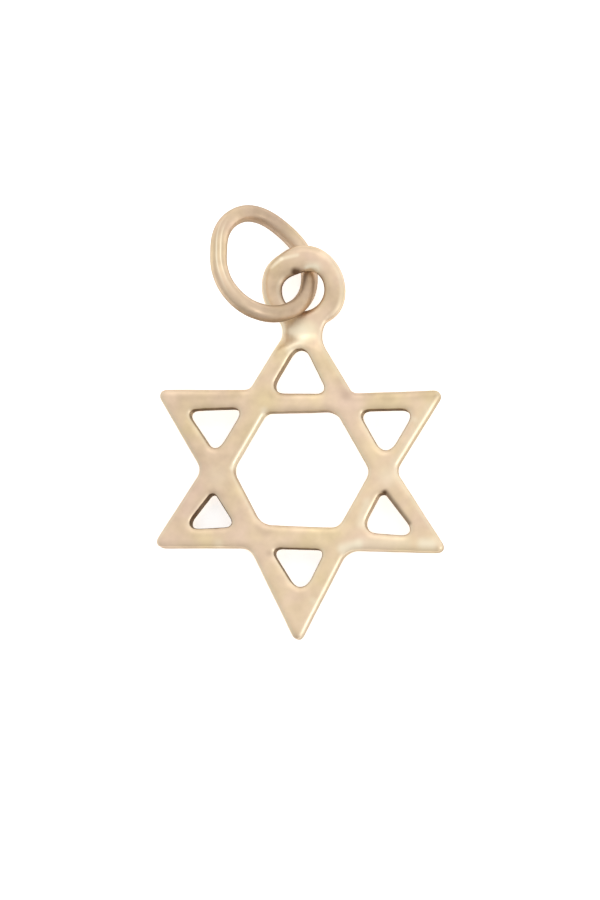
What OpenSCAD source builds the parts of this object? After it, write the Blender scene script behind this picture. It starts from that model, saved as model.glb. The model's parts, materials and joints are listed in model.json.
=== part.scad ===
// A flat cast star of two crossed triangles, pierced between its bars. Its top point runs through
// a short neck into a round eye, and a closed jump ring passes through the eye. The star lies on
// a flat surface: the ring's wire props it up at the eye, so it leans on two of its tips.

/* [Star] */
// Reach of an even point, from the star's middle to its sharp tip
star_r = 8; // [7:0.25:9.5]
// Width of an even bar
bar_w = 0.95; // [0.8:0.05:1.15]
// Thickness of the plate
star_t = 0.95; // [0.8:0.05:1.2]
// Rounding of the plate's worn edges
edge_r = 0.2; // [0.1:0.02:0.26]
// Rounding of an even tip, seen from above
tip_r = 0.28; // [0.27:0.01:0.4]
// Rounding of an even notch between two points
notch_r = 0.6; // [0.4:0.05:0.8]
// Rounding of the corners of the six-sided middle opening
middle_r = 0.7; // [0.4:0.05:0.9]
// Rounding of the corners of the six small windows
window_r = 0.25; // [0.15:0.01:0.3]

/* [Eye] */
// Outer diameter of the eye
eye_od = 4; // [3.8:0.05:4.4]
// Diameter of the hole through the eye
eye_hole = 2.1; // [1.9:0.05:2.25]
// Thickness of the eye
eye_t = 0.68; // [0.6:0.02:0.8]
// Width of the rounded shoulder on each edge of the eye
eye_shoulder = 0.42; // [0.3:0.01:0.44]
// Least width of the flat left on the eye between two shoulders
eye_flat = 0.04; // [0.02:0.01:0.1]
// Height of the straight wall left on each edge of the eye
eye_wall = 0.08; // [0.04:0.01:0.2]
// Distance of the eye's middle past the top point's sharp tip
eye_past_tip = 1.03; // [0.9:0.01:1.2]
// Sideways distance of the eye's middle from that tip
eye_shift = 0.1; // [0:0.02:0.2]
// Distance of the hole's middle below the eye's middle
hole_drop = 0.14; // [0:0.01:0.2]
// Rounding between the eye and the top point
neck_r = 0.9; // [0.75:0.01:1.1]

/* [Jump ring] */
// Outer diameter of the jump ring
ring_od = 6; // [5.6:0.1:7]
// Diameter of the ring's round wire
wire_d = 0.8; // [0.7:0.02:0.86]
// Gap kept between the ring and the eye
ring_gap = 0.03; // [0.01:0.01:0.08]

/* [Hidden] */

// The star isn't quite even: its hand-finished points and bars differ a little. The tables give
// shares of the even sizes, a row for each point or notch, clockwise from the top.
// Points: reach and sideways shift of the tip as shares of star_r, and rounding of tip_r
POINTS = [
    [0.963, -0.005, 1],
    [0.966, 0.013, 1],
    [0.991, -0.003, 1],
    [1.051, 0.021, 1],
    [0.985, 0.035, 1.1],
    [0.975, -0.014, 1]
];
REACH = 0;
SHIFT = 1;
ROUND = 2;

// Notches, each clockwise of its point: reach and shift as shares of star_r, rounding of notch_r,
// then the middle opening's corner: depth behind the notch and shift as shares of bar_w, and
// rounding of middle_r
NOTCHES = [
    [0.545, 0.036, 0.6, 1.18, -0.29, 1],
    [0.556, 0.004, 0.35, 1.25, 0.08, 1],
    [0.55, 0.003, 1.4, 1.14, -0.15, 0.9],
    [0.552, 0.036, 1.2, 1.26, -0.04, 1.2],
    [0.583, -0.005, 1, 1.56, 0.05, 1],
    [0.562, -0.024, 0.9, 1.38, 0.15, 0.8]
];
DEPTH = 3;
MIDDLE_SHIFT = 4;
MIDDLE_ROUND = 5;

// Windows: width of the clockwise rail at its tip and at its notch, the same of the other rail,
// and how far the sill lies outside the line between the notches, clockwise and at the other end,
// all as shares of bar_w, then the rounding at the tip and at the sill as shares of window_r
WINDOWS = [
    [0.64, 1.02, 0.83, 0.88, -0.04, -0.13, 1.6, 1.3],
    [0.77, 0.74, 0.89, 0.81, -0.11, -0.18, 1.5, 1],
    [0.6, 0.9, 0.65, 1.1, 0.09, -0.07, 0.85, 1.4],
    [1.38, 0.95, 0.92, 0.95, 0.03, 0.01, 1.8, 0.9],
    [0.74, 1.09, 0.78, 1, 0.03, 0.05, 0.65, 0.95],
    [1.08, 0.85, 0.72, 1.03, -0.21, -0.21, 1.4, 0.9]
];
RAIL = 0;
OTHER_RAIL = 2;
SILL = 4;
TIP_ROUND = 6;
SILL_ROUND = 7;

// Where the ring lies: the wire crosses the level of the eye's middle at this place in the hole,
// as shares of the play between wire and hole, with this much of the ring's turn to its lowest
// place, which lies in this direction from its middle, counterclockwise from +X
THREAD_X = 0.28;
THREAD_Y = -0.42;
THREAD_TURN = -59;
RING_HEADING = 31;

// Steps of the curves
CORNER_STEPS = 6;
HOLE_STEPS = 32;
EYE_STEPS = 28;
SHOULDER_STEPS = 3;
RING_LOOKS = 72;
HALVINGS = 14;
RING_FINENESS = 72;

// Small helpers
function clamp(t) = min(1, max(0, t));
function mix(a, b, t) = a + (b - a) * t;
function unit(v) = v / norm(v);
function turned(v, a) = [v.x * cos(a) - v.y * sin(a), v.x * sin(a) + v.y * cos(a)];
function outward(a) = [sin(a), cos(a)];
function clockwise(a) = [cos(a), -sin(a)];
function right_of(v) = unit([v.y, -v.x]);
function meet(p, u, q, v) = p + u * (cross(q - p, v) / cross(u, v));
function near(k) = (k + 6) % 6;

// Sharp corners of the star
function tip(k) =
    star_r * (POINTS[k][REACH] * outward(60 * k) + POINTS[k][SHIFT] * clockwise(60 * k));
function notch(k) =
    star_r * (NOTCHES[k][REACH] * outward(60 * k + 30) + NOTCHES[k][SHIFT] * clockwise(60 * k + 30));
function middle_corner(k) =
    notch(k) + bar_w * (NOTCHES[k][MIDDLE_SHIFT] * clockwise(60 * k + 30)
        - NOTCHES[k][DEPTH] * outward(60 * k + 30));

// A line moved sideways from p-q, by one share of the bar's width at p and another at q
function beside(p, q, side, at_p, at_q) = [p + side * bar_w * at_p, q + side * bar_w * at_q];
function corner_of(a, b) = meet(a[0], a[1] - a[0], b[0], b[1] - b[0]);
function window_corners(k) =
    let (
        row = WINDOWS[k],
        point = tip(k),
        after = notch(k),
        before = notch(near(k - 1)),
        rail = beside(point, after, right_of(after - point), row[RAIL], row[RAIL + 1]),
        other = beside(point, before, -right_of(before - point),
            row[OTHER_RAIL], row[OTHER_RAIL + 1]),
        sill = beside(after, before, right_of(before - after), row[SILL], row[SILL + 1])
    )
    [corner_of(rail, other), corner_of(other, sill), corner_of(sill, rail)];

// A corner rounded by an arc of radius r, in a counterclockwise outline: rows of a point and the
// outline's outward direction there
function arc_corner(before, at, after, r, steps = CORNER_STEPS) =
    let (
        come = unit(at - before),
        go = unit(after - at),
        turn = atan2(cross(come, go), come * go),
        bulge = turn > 0 ? 1 : -1,
        start = at - come * r * tan(abs(turn) / 2),
        middle = start - bulge * r * right_of(come)
    )
    [for (i = [0:steps])
        let (n = turned(right_of(come), turn * i / steps)) [middle + bulge * r * n, n]];
function halfway(a, b) = [(a[0] + b[0]) / 2, a[1]];

// A closed loop of rounded corners, with one more point halfway along each side
function rounded_loop(corners, radii) =
    let (
        n = len(corners),
        arcs = [for (i = [0:n - 1])
            arc_corner(corners[(i + n - 1) % n], corners[i], corners[(i + 1) % n], radii[i])]
    )
    [for (i = [0:n - 1]) each concat(arcs[i], [halfway(arcs[i][CORNER_STEPS], arcs[(i + 1) % n][0])])];

// The eye and the neck under it
eye_r = eye_od / 2;
hole_r = eye_hole / 2;
eye_at = tip(0) + [eye_shift, eye_past_tip];
hole_at = eye_at - [0, hole_drop];
eye_band = eye_r - hole_drop - hole_r;
shoulder_w = min(eye_shoulder, (eye_band - eye_flat) / 2);
shoulder_h = (eye_t - eye_wall) / 2;

// Middle of the arc that rounds one side of the neck, tangent to the point's side and to the eye
function neck_middle(rail_end) =
    let (
        along = unit(tip(0) - rail_end),
        side = rail_end.x > 0 ? right_of(along) : -right_of(along),
        base = rail_end + side * neck_r,
        far = (eye_at - base) * along,
        off = norm(eye_at - base - along * far),
        reach = eye_r + neck_r
    )
    base + along * (far - sqrt(reach * reach - off * off));
function neck_ends(rail_end) =
    let (
        m = neck_middle(rail_end),
        along = unit(tip(0) - rail_end),
        side = rail_end.x > 0 ? right_of(along) : -right_of(along)
    )
    [m - side * neck_r, m + unit(eye_at - m) * neck_r];
right_neck = neck_middle(notch(0));
left_neck = neck_middle(notch(5));
right_ends = neck_ends(notch(0));
left_ends = neck_ends(notch(5));
// The plate thins to the eye between these two heights
neck_low = max(right_ends[0].y, left_ends[0].y);
neck_high = min(right_ends[1].y, left_ends[1].y);
ramp_start = mix(neck_low, neck_high, 0.3);
ramp_end = mix(neck_low, neck_high, 0.75);
function eye_share(y) = clamp((y - ramp_start) / (ramp_end - ramp_start));
RAMP_STEPS = 3;
function neck_side(m, ends, side) =
    let (inner = [for (i = [0:RAMP_STEPS]) mix(ramp_start, ramp_end, i / RAMP_STEPS)])
    concat(
        [[ends[0], unit(m - ends[0])]],
        [for (y = inner)
            let (p = [m.x - side * sqrt(neck_r * neck_r - pow(y - m.y, 2)), y]) [p, unit(m - p)]],
        [[ends[1], unit(m - ends[1])]]
    );
function backward(list) = [for (i = [len(list) - 1:-1:0]) list[i]];

// The whole outline, counterclockwise from the notch right of the top point
function eye_arc() =
    let (
        a = atan2(right_ends[1].y - eye_at.y, right_ends[1].x - eye_at.x),
        b = atan2(left_ends[1].y - eye_at.y, left_ends[1].x - eye_at.x) + 360
    )
    [for (i = [1:EYE_STEPS - 1])
        let (n = turned([1, 0], mix(a, b, i / EYE_STEPS))) [eye_at + eye_r * n, n]];
function notch_arc(k) =
    arc_corner(tip(near(k + 1)), notch(k), tip(k), NOTCHES[k][ROUND] * notch_r);
function tip_arc(k) = arc_corner(notch(k), tip(k), notch(near(k - 1)), POINTS[k][ROUND] * tip_r);
outline = concat(
    notch_arc(0),
    neck_side(right_neck, right_ends, 1),
    eye_arc(),
    backward(neck_side(left_neck, left_ends, -1)),
    notch_arc(5),
    [for (k = [5:-1:1]) each concat(tip_arc(k), k > 1 ? notch_arc(k - 1) : [])]
);

// Places of the marks on the outline that the flat faces are cut at
ARC = CORNER_STEPS + 1;
HALF_ARC = CORNER_STEPS / 2;
NECK = RAMP_STEPS + 3;
RIGHT_LOW = ARC + 1;
RIGHT_HIGH = RIGHT_LOW + RAMP_STEPS;
EYE_TOP = ARC + NECK + EYE_STEPS / 2 - 1;
LEFT_HIGH = ARC + NECK + EYE_STEPS;
LEFT_LOW = LEFT_HIGH + RAMP_STEPS;
LAST_NOTCH = ARC + 2 * NECK + EYE_STEPS - 1;
function notch_mark(k) = k == 0 ? HALF_ARC : LAST_NOTCH + (5 - k) * 2 * ARC + HALF_ARC;
function tip_mark(k) = LAST_NOTCH + ARC + (5 - k) * 2 * ARC + HALF_ARC;

// Openings, counterclockwise: six windows, the six-sided middle and the hole of the eye
function window(k) =
    rounded_loop(window_corners(k), window_r * [
        WINDOWS[k][TIP_ROUND], WINDOWS[k][SILL_ROUND], WINDOWS[k][SILL_ROUND]
    ]);
WINDOW_POINTS = 3 * (ARC + 1);
WINDOW_TIP = HALF_ARC;
OTHER_CORNER = ARC + 1 + HALF_ARC;
WINDOW_SILL = 2 * (ARC + 1) - 1;
SILL_CORNER = 2 * (ARC + 1) + HALF_ARC;
middle = rounded_loop(
    [for (k = [5:-1:0]) middle_corner(k)],
    [for (k = [5:-1:0]) middle_r * NOTCHES[k][MIDDLE_ROUND]]
);
function middle_mark(k) = (5 - k) * (ARC + 1) + HALF_ARC;
function bar_mark(k) = (5 - k) * (ARC + 1) + ARC;
hole = [
    for (i = [0:HOLE_STEPS - 1])
        let (n = turned([1, 0], 360 * i / HOLE_STEPS)) [hole_at + hole_r * n, n]
];
HOLE_TOP = HOLE_STEPS / 4;
HOLE_BOTTOM = 3 * HOLE_STEPS / 4;

// Section of the worn edges: step 0 is where the wall ends, the last step is the flat face
function worn_in(w, step) = w * (1 - cos(90 * step / SHOULDER_STEPS));
function worn_z(h, drop, step) = h - drop * (1 - sin(90 * step / SHOULDER_STEPS));
function outline_point(i, step) =
    let (
        p = outline[i][0],
        n = outline[i][1],
        e = eye_share(p.y),
        d = worn_in(mix(edge_r, shoulder_w, e), step),
        m = p + neck_r * n,
        z = worn_z(mix(star_t, eye_t, e) / 2, mix(edge_r, shoulder_h, e), step),
        on_ramp = (i >= RIGHT_LOW && i <= RIGHT_HIGH) || (i >= LEFT_HIGH && i <= LEFT_LOW),
        x = m.x - sign(n.x) * sqrt(pow(neck_r + d, 2) - pow(p.y - m.y, 2))
    )
    on_ramp ? [x, p.y, z] : [p.x - n.x * d, p.y - n.y * d, z];
function opening_points(loop, w, h, drop, step) =
    [for (row = loop) let (p = row[0] + row[1] * worn_in(w, step)) [p.x, p.y, worn_z(h, drop, step)]];
function star_layer(step, side) =
    let (
        plate = concat([for (k = [0:5]) each window(k)], middle),
        layer = concat(
            [for (i = [0:len(outline) - 1]) outline_point(i, step)],
            opening_points(plate, edge_r, star_t / 2, edge_r, step),
            opening_points(hole, shoulder_w, eye_t / 2, shoulder_h, step)
        )
    )
    [for (p = layer) [p.x, p.y, side * p.z]];
star_points = concat(
    [for (step = [SHOULDER_STEPS:-1:0]) each star_layer(step, -1)],
    [for (step = [0:SHOULDER_STEPS]) each star_layer(step, 1)]
);

// Each loop as its first point in a layer and its number of points
OUTLINE = [0, len(outline)];
MIDDLE = [len(outline) + 6 * WINDOW_POINTS, len(middle)];
HOLE = [MIDDLE[0] + MIDDLE[1], HOLE_STEPS];
LAYER_POINTS = HOLE[0] + HOLE[1];
LAYERS = 2 * (SHOULDER_STEPS + 1);
function window_loop(k) = [len(outline) + k * WINDOW_POINTS, WINDOW_POINTS];
function along(loop, a, b) =
    [for (i = [0:(b - a + loop[1]) % loop[1]]) loop[0] + (a + i) % loop[1]];
function against(loop, a, b) =
    [for (i = [0:(a - b + loop[1]) % loop[1]]) loop[0] + (a - i + loop[1]) % loop[1]];

// Triangles between two rows of points that run the same way, the first row on the right
TIE = 0.000001;
function passed(i, own, other) = ((2 * i + 1) * (other - 1) / (own - 1) - 1) / 2;
function strip(right, left) = concat(
    [for (i = [0:len(right) - 2])
        [right[i], right[i + 1], left[ceil(passed(i, len(right), len(left)) - TIE)]]],
    [for (j = [0:len(left) - 2])
        [right[floor(passed(j, len(left), len(right)) + TIE) + 1], left[j + 1], left[j]]]
);

// The flat face: each point has two rails, and a bar under its window, in two halves
function rails(k) = concat(
    strip(along(OUTLINE, notch_mark(k), k == 0 ? RIGHT_LOW : tip_mark(k)),
        along(window_loop(k), SILL_CORNER, WINDOW_TIP)),
    strip(along(OUTLINE, k == 0 ? LEFT_LOW : tip_mark(k), notch_mark(near(k - 1))),
        along(window_loop(k), WINDOW_TIP, OTHER_CORNER))
);
function bar(k) =
    let (
        first = window_loop(k)[0],
        corner = MIDDLE[0] + middle_mark(k),
        other = MIDDLE[0] + middle_mark(near(k - 1))
    )
    concat(
        [[notch_mark(k), first + SILL_CORNER, corner]],
        strip(against(window_loop(k), SILL_CORNER, WINDOW_SILL),
            along(MIDDLE, middle_mark(k), bar_mark(k))),
        strip(against(window_loop(k), WINDOW_SILL, OTHER_CORNER),
            along(MIDDLE, bar_mark(k), middle_mark(near(k - 1)))),
        [[notch_mark(near(k - 1)), other, first + OTHER_CORNER]]
    );
flat_faces = concat(
    [for (k = [0:5]) each concat(rails(k), bar(k))],
    [[RIGHT_LOW, LEFT_LOW, window_loop(0)[0] + WINDOW_TIP]],
    strip(along(OUTLINE, RIGHT_LOW, RIGHT_HIGH), against(OUTLINE, LEFT_LOW, LEFT_HIGH)),
    [[LEFT_HIGH, RIGHT_HIGH, HOLE[0] + HOLE_BOTTOM]],
    strip(along(OUTLINE, RIGHT_HIGH, EYE_TOP), along(HOLE, HOLE_BOTTOM, HOLE_TOP)),
    strip(along(OUTLINE, EYE_TOP, LEFT_HIGH), along(HOLE, HOLE_TOP, HOLE_BOTTOM))
);
function wall_faces(loop, outside) = [
    for (layer = [0:LAYERS - 2])
        for (i = [0:loop[1] - 1])
            let (
                a = layer * LAYER_POINTS + loop[0] + i,
                b = layer * LAYER_POINTS + loop[0] + (i + 1) % loop[1],
                c = b + LAYER_POINTS,
                d = a + LAYER_POINTS
            )
            each (outside ? [[a, d, c], [a, c, b]] : [[a, c, d], [a, b, c]])
];
star_faces = concat(
    flat_faces,
    [for (face = flat_faces) [for (i = backward(face)) i + (LAYERS - 1) * LAYER_POINTS]],
    wall_faces(OUTLINE, true),
    [for (k = [0:5]) each wall_faces(window_loop(k), false)],
    wall_faces(MIDDLE, false),
    wall_faces(HOLE, false)
);

// The ring, from the least tilt at which its wire clears the eye above and below
wire_r = wire_d / 2;
ring_r = ring_od / 2 - wire_r;
play = hole_r - wire_r;
thread = play * [THREAD_X, THREAD_Y, 0];
ring_level = [-sin(RING_HEADING), cos(RING_HEADING), 0];
function ring_down(tilt) =
    [cos(tilt) * cos(RING_HEADING), cos(tilt) * sin(RING_HEADING), -sin(tilt)];
function ring_spoke(tilt, a) = ring_r * (cos(a) * ring_down(tilt) + sin(a) * ring_level);
function wire_at(tilt, a) = thread - ring_spoke(tilt, THREAD_TURN) + ring_spoke(tilt, a);
// Distance from the eye's skin, of a point given from the middle of the hole
function off_eye(p) =
    let (
        rho = norm([p.x, p.y]),
        outer = eye_r + hole_drop * p.y / rho,
        half = (outer - hole_r) / 2,
        q = [abs(rho - hole_r - half), abs(p.z)]
    )
    max(concat(
        [q.x - half, q.y - eye_t / 2],
        [for (s = [0:SHOULDER_STEPS - 1])
            let (
                a = [half - worn_in(shoulder_w, s), worn_z(eye_t / 2, shoulder_h, s)],
                b = [half - worn_in(shoulder_w, s + 1), worn_z(eye_t / 2, shoulder_h, s + 1)]
            )
            (q - a) * right_of(b - a)]
    ));
function ring_clear(tilt) =
    min([for (i = [0:RING_LOOKS - 1]) off_eye(wire_at(tilt, 360 * i / RING_LOOKS))])
    - wire_r - ring_gap;
function least_tilt(low, high, left) =
    let (half = (low + high) / 2)
    left == 0 ? high
        : ring_clear(half) < 0 ? least_tilt(half, high, left - 1)
        : least_tilt(low, half, left - 1);
ring_tilt = least_tilt(20, 85, HALVINGS);
ring_at = [hole_at.x, hole_at.y, 0] + thread - ring_spoke(ring_tilt, THREAD_TURN);
ring_axis = cross(ring_down(ring_tilt), ring_level);

// How it lies: on the bottom tip, on the lower left tip and on the wire under the eye
BOTTOM_TIP = 3;
LEANING_TIP = 4;
SETTLINGS = 8;
function tip_middle(k) = let (row = tip_arc(k)[HALF_ARC]) row[0] - row[1] * POINTS[k][ROUND] * tip_r;
function tip_foot(k, up) =
    let (p = tip_middle(k) - (POINTS[k][ROUND] * tip_r - edge_r) * unit([up.x, up.y]))
    [p.x, p.y, edge_r - star_t / 2] - edge_r * up;
function ring_foot(up) = ring_at - ring_r * unit(up - (up * ring_axis) * ring_axis) - wire_r * up;
function settled(up, left) =
    let (
        a = tip_foot(BOTTOM_TIP, up),
        b = tip_foot(LEANING_TIP, up),
        c = ring_foot(up),
        n = unit(cross(b - a, c - a))
    )
    left == 0 ? up : settled(n.z > 0 ? n : -n, left - 1);
up = settled(unit([0.03, 0.04, 1]), SETTLINGS);
lean_x = atan2(up.y, up.z);
lean_y = -atan2(up.x, norm([up.y, up.z]));
function leaned(p) =
    let (q = p.y * sin(lean_x) + p.z * cos(lean_x))
    [
        p.x * cos(lean_y) + q * sin(lean_y),
        p.y * cos(lean_x) - p.z * sin(lean_x),
        q * cos(lean_y) - p.x * sin(lean_y)
    ];
function tip_reach(k, way) =
    leaned(concat(tip_middle(k), [0])) + way * POINTS[k][ROUND] * tip_r;
edge_reach = (star_t / 2 - edge_r) * [abs(sin(lean_y)), sin(lean_x), 0];
low_corner = [
    min(tip_reach(4, [-1, 0, 0]).x, tip_reach(5, [-1, 0, 0]).x), tip_reach(BOTTOM_TIP, [0, -1, 0]).y
] - [edge_reach.x, edge_reach.y];
right_reach = max(tip_reach(1, [1, 0, 0]).x, tip_reach(2, [1, 0, 0]).x) + edge_reach.x;
ring_top = leaned(ring_at).y + ring_r * sqrt(1 - pow(leaned(ring_axis).y, 2)) + wire_r;
place = [-(low_corner.x + right_reach) / 2, -(low_corner.y + ring_top) / 2, -up * ring_foot(up)];

module lying() {
    translate(place) rotate([lean_x, lean_y, 0]) children();
}

module star() {
    color([0.9, 0.8, 0.68]) lying() polyhedron(star_points, star_faces, convexity = 6);
}

module jump_ring() {
    color([0.87, 0.76, 0.63]) lying() translate(ring_at) rotate([0, ring_tilt, RING_HEADING])
        rotate_extrude($fn = RING_FINENESS)
            translate([ring_r, 0]) circle(d = wire_d, $fn = RING_FINENESS / 3);
}

star();
jump_ring();
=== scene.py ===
"""A small cast gold star charm with its jump ring, lying on a pale table.

Each piece is modelled in millimetres, the star in a frame of its own with the middle of its plate
at the origin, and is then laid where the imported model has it, in metres.
"""

import json
import logging
import math
from collections.abc import Sequence
from dataclasses import dataclass
from enum import Enum

import bmesh
import bpy
from bmesh.types import BMEdge, BMesh, BMVert
from bpy.types import Material, Node, NodeSocket, NodeTree, Object
from mathutils import Matrix, Vector, kdtree, noise


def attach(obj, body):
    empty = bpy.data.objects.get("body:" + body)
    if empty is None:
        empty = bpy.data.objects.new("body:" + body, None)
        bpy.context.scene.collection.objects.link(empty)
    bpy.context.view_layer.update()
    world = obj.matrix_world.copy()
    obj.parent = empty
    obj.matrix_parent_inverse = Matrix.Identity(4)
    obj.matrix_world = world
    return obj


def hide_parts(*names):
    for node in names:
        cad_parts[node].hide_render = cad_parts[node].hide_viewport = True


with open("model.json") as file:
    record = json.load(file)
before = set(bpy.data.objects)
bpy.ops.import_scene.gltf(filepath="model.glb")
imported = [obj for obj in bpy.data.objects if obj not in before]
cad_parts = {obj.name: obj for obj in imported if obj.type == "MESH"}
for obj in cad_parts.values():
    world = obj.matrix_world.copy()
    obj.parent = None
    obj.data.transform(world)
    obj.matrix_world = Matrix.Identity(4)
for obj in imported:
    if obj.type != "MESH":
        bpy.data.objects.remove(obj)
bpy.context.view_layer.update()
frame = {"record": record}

LOG = logging.getLogger("charm")
MM = 0.001
SIDES = 6
CORNER = math.radians(360 / SIDES)
# Most of a noise's values lie between these two.
NOISE_LOW, NOISE_HIGH = 0.3, 0.7
# A wall belongs to an opening within this many times the opening's reach.
WALL_REACH = 1.15
# A wall that faces down the star less than the first is no top wall, and more than the second is one.
TOP_WALL = (0.5, 0.95)

Colour = tuple[float, float, float, float]
Sockets = tuple[NodeSocket, NodeSocket, NodeSocket]


class Mark(str, Enum):
    """What a mesh remembers at each point for its finish: painted shade with some tarnish and stains,
    painted highlights, and yellower tone.
    """

    # Painted shade with some tarnish and stains: darkens the colour on walls, dark spots and the ring's
    # shaded flanks.
    SHADE_AND_STAIN = "shade_and_stain"
    # Painted highlights: makes the colour paler on edges, spots and the ring's stripes.
    PAINTED_HIGHLIGHT = "painted_highlight"
    YELLOW = "yellow"


def outward(turns: float) -> Vector:
    """Direction from the star's middle, so many sixths of a turn clockwise from its top."""
    return Vector((math.sin(turns * CORNER), math.cos(turns * CORNER), 0))


def clockwise(turns: float) -> Vector:
    """Direction clockwise round the star, at so many sixths of a turn."""
    return Vector((math.cos(turns * CORNER), -math.sin(turns * CORNER), 0))


def right_of(way: Vector) -> Vector:
    """Unit direction to the right of a direction in the plate's plane."""
    return Vector((way.y, -way.x, 0)).normalized()


def meet(p: Vector, u: Vector, q: Vector, v: Vector) -> Vector:
    """Point of the plate's plane where the line through p along u meets the line through q along v."""
    apart = q - p
    return p + u * ((apart.x * v.y - apart.y * v.x) / (u.x * v.y - u.y * v.x))


def ease(low: float, high: float, value: float) -> float:
    """Share from 0 where the value is low to 1 where it is high, with soft ends."""
    share = min(1.0, max(0.0, (value - low) / (high - low)))
    return share * share * (3 - 2 * share)


@dataclass(frozen=True)
class PointRow:
    """One point of the star, as shares of the even sizes.

    Attributes:
        reach: Distance of its sharp tip from the middle.
        shift: How far the tip lies clockwise of its even place.
        rounding: Rounding of the tip.
    """

    reach: float
    shift: float
    rounding: float


@dataclass(frozen=True)
class NotchRow:
    """One notch, and the corner of the middle opening behind it, as shares of the even sizes.

    Attributes:
        reach: Distance of the notch's sharp corner from the middle.
        shift: How far it lies clockwise of its even place.
        rounding: Rounding of the notch.
        depth: Metal between the notch and the middle opening, in bar widths.
        middle_shift: How far the opening's corner lies clockwise of the notch, in bar widths.
        middle_rounding: Rounding of the opening's corner.
    """

    reach: float
    shift: float
    rounding: float
    depth: float
    middle_shift: float
    middle_rounding: float


@dataclass(frozen=True)
class WindowRow:
    """One window, with the widths of the metal round it in bar widths.

    Attributes:
        rail_tip: Width of the clockwise rail at the star's tip.
        rail_notch: Its width at the notch.
        other_tip: Width of the other rail at the tip.
        other_notch: Its width at the notch.
        sill: How far the sill lies outside the line between the notches, at its clockwise end.
        other_sill: The same at its other end.
        tip_rounding: Rounding of the corner at the tip, as a share of the even one.
        sill_rounding: Rounding of the clockwise corner on the sill.
        other_rounding: Rounding of the other corner on the sill.
    """

    rail_tip: float
    rail_notch: float
    other_tip: float
    other_notch: float
    sill: float
    other_sill: float
    tip_rounding: float
    sill_rounding: float
    other_rounding: float


@dataclass(frozen=True)
class Spot:
    """A soft spot or stroke on the star, in millimetres in the star's frame.

    Attributes:
        x: Its place, or where the stroke starts.
        y: The same, up the star.
        reach: How far from the spot or the stroke it has faded out.
        strength: How strong it is in the middle.
        on_x: How far the stroke runs to the right.
        on_y: How far the stroke runs up the star.
    """

    x: float
    y: float
    reach: float
    strength: float
    on_x: float = 0.0
    on_y: float = 0.0

    def share(self, at: Vector) -> float:
        """Its strength at a point.

        Args:
            at: The point.

        Returns:
            The strength.
        """
        dx, dy = at.x - self.x, at.y - self.y
        along = 0.0
        if self.on_x or self.on_y:
            along = (dx * self.on_x + dy * self.on_y) / (self.on_x**2 + self.on_y**2)
            along = min(1.0, max(0.0, along))
        away = math.hypot(dx - along * self.on_x, dy - along * self.on_y)
        return self.strength * (1 - ease(0, self.reach, away))


@dataclass(frozen=True)
class Stretch:
    """A stretch of a round piece that is bent out of round, or marked with painted shade or highlight, by
    some amount.

    Attributes:
        turn: Where its middle is, in degrees round the piece.
        reach: How many degrees from there it has faded out.
        amount: Millimetres outward in the middle for a bend, or how strong the painted shade or highlight
            is for a mark.
    """

    turn: float
    reach: float
    amount: float

    def at(self, turn: float) -> float:
        """Its amount at a turn."""
        away = abs((turn - self.turn + 180) % 360 - 180)
        return self.amount * (1 - ease(0, self.reach, away))


@dataclass
class Recipe:
    """A material's node tree, and short ways to add to it."""

    tree: NodeTree

    def add(self, kind: str, inputs: dict[str | int, object] | None = None, **settings: object) -> Node:
        """Adds one node.

        Args:
            kind: The node's type name.
            inputs: Values or output sockets, by input name or number.
            settings: Properties of the node.

        Returns:
            The new node.
        """
        node = self.tree.nodes.new(kind)
        for name, value in settings.items():
            setattr(node, name, value)
        for name, value in (inputs or {}).items():
            if isinstance(value, NodeSocket):
                self.tree.links.new(value, node.inputs[name])
            else:
                node.inputs[name].default_value = value
        return node

    def blend(
        self, share: NodeSocket, first: Colour | NodeSocket, second: Colour | NodeSocket
    ) -> NodeSocket:
        """Mixes two colours, with this share of the second."""
        node = self.add("ShaderNodeMix", {0: share, 6: first, 7: second}, data_type="RGBA")
        return node.outputs[2]

    def ranged(
        self, value: NodeSocket, low: float, high: float, to_low: float, to_high: float
    ) -> NodeSocket:
        """Maps a value from the range low to high to that of to_low to to_high, and holds it inside."""
        inputs = {0: value, 1: low, 2: high, 3: to_low, 4: to_high}
        return self.add("ShaderNodeMapRange", inputs, clamp=True).outputs[0]

    def total(self, kind: str, first: NodeSocket, second: float | NodeSocket) -> NodeSocket:
        """Result of one sum on two values, such as ADD or MULTIPLY."""
        return self.add("ShaderNodeMath", {0: first, 1: second}, operation=kind).outputs[0]

    def speckle(self, place: NodeSocket, size: float) -> NodeSocket:
        """Noise from 0 to 1 at a place, with spots as wide as the size."""
        return self.add("ShaderNodeTexNoise", {"Vector": place, "Scale": 1 / size}).outputs[0]


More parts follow.
